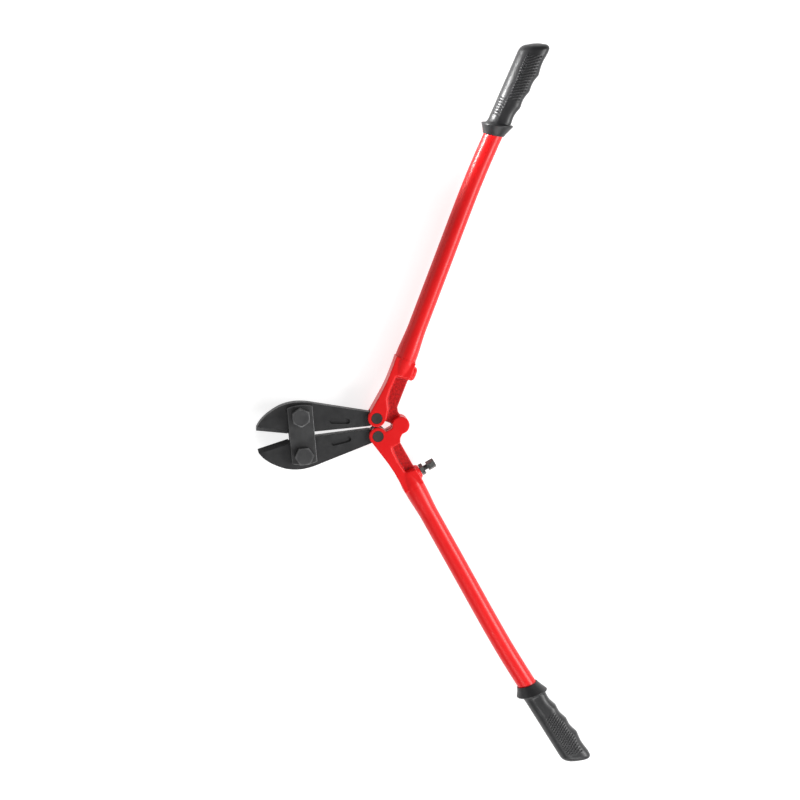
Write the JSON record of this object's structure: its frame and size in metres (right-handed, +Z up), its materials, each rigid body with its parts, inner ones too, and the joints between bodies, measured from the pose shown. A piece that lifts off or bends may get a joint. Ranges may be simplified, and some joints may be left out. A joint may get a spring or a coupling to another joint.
{
  "type": "bolt cutters",
  "caption": "Long-handled bolt cutters with compound-lever jaws, forged yokes, tubular handles and moulded grips, lying open.",
  "frame": {"origin": "centre of the footprint, on the surface the tool lies on", "axes": "+Z up from that surface, +Y towards the handle without the stop screw, -X towards the jaws"},
  "size_m": [0.4506, 1.0496, 0.0443],
  "materials": {
    "jaw_steel": "black oxide, satin, forged",
    "plate_steel": "black oxide, satin, stamped",
    "bolt_steel": "black oxide, satin",
    "pin_steel": "oiled dark steel, satin",
    "red_paint": "glossy red enamel",
    "grip_rubber": "moulded, ribbed, matt",
    "zinc_steel": "dark zinc plate, satin"
  },
  "bodies": {
    "lower_handle": {"lower_yoke": "red_paint", "lower_link_pin": "pin_steel", "centre_pin": "pin_steel", "lower_tube": "red_paint", "lower_grip": "grip_rubber"},
    "upper_handle": {"upper_yoke": "red_paint", "upper_link_pin": "pin_steel", "upper_tube": "red_paint", "upper_grip": "grip_rubber"},
    "lower_jaw_body": {"lower_jaw": "jaw_steel"},
    "upper_jaw_body": {"upper_jaw": "jaw_steel"},
    "head_link": {"front_plate": "plate_steel", "rear_plate": "plate_steel", "upper_jaw_bolt": "bolt_steel", "lower_jaw_bolt": "bolt_steel", "upper_jaw_washer": "bolt_steel", "lower_jaw_washer": "bolt_steel", "upper_jaw_nut": "bolt_steel", "lower_jaw_nut": "bolt_steel"},
    "stop_screw_body": {"stop_screw": "zinc_steel"},
    "lock_nut_body": {"stop_lock_nut": "zinc_steel"}
  },
  "joints": [
    {"name": "handles_close", "type": "hinge", "parent": "lower_handle", "child": "upper_handle", "pos_m": [-0.02051, 0, 0.022], "axis": [0, 0, 1], "range_deg": [-120.4, 0]},
    {"name": "lower_jaw_swing", "type": "hinge", "parent": "lower_handle", "child": "lower_jaw_body", "pos_m": [-0.05411, -0.013, 0.022], "axis": [0, 0, 1], "range_deg": [-73.9, 0]},
    {"name": "upper_jaw_swing", "type": "hinge", "parent": "upper_handle", "child": "upper_jaw_body", "pos_m": [-0.05411, 0.013, 0.022], "axis": [0, 0, 1], "range_deg": [0, 70.7]},
    {"name": "head_link_turn", "type": "hinge", "parent": "lower_jaw_body", "child": "head_link", "pos_m": [-0.16085, -0.03099, 0.022], "axis": [0, 0, 1], "range_deg": [0, 12.8]},
    {"name": "stop_screw_adjust", "type": "slide", "parent": "lower_handle", "child": "stop_screw_body", "axis": [-0.9026, -0.4305, 0], "range_m": [0, 0.004]},
    {"name": "lock_nut_spin", "type": "hinge", "parent": "lower_handle", "child": "lock_nut_body", "pos_m": [0.00671, -0.06845, 0.022], "axis": [-0.9026, -0.4305, 0], "continuous": true}
  ],
  "couplings": [
    {"joint": "lower_jaw_swing", "follows": "handles_close", "ratio": 0.61296},
    {"joint": "upper_jaw_swing", "follows": "handles_close", "ratio": -0.58639},
    {"joint": "head_link_turn", "follows": "handles_close", "ratio": -0.10584}
  ]
}
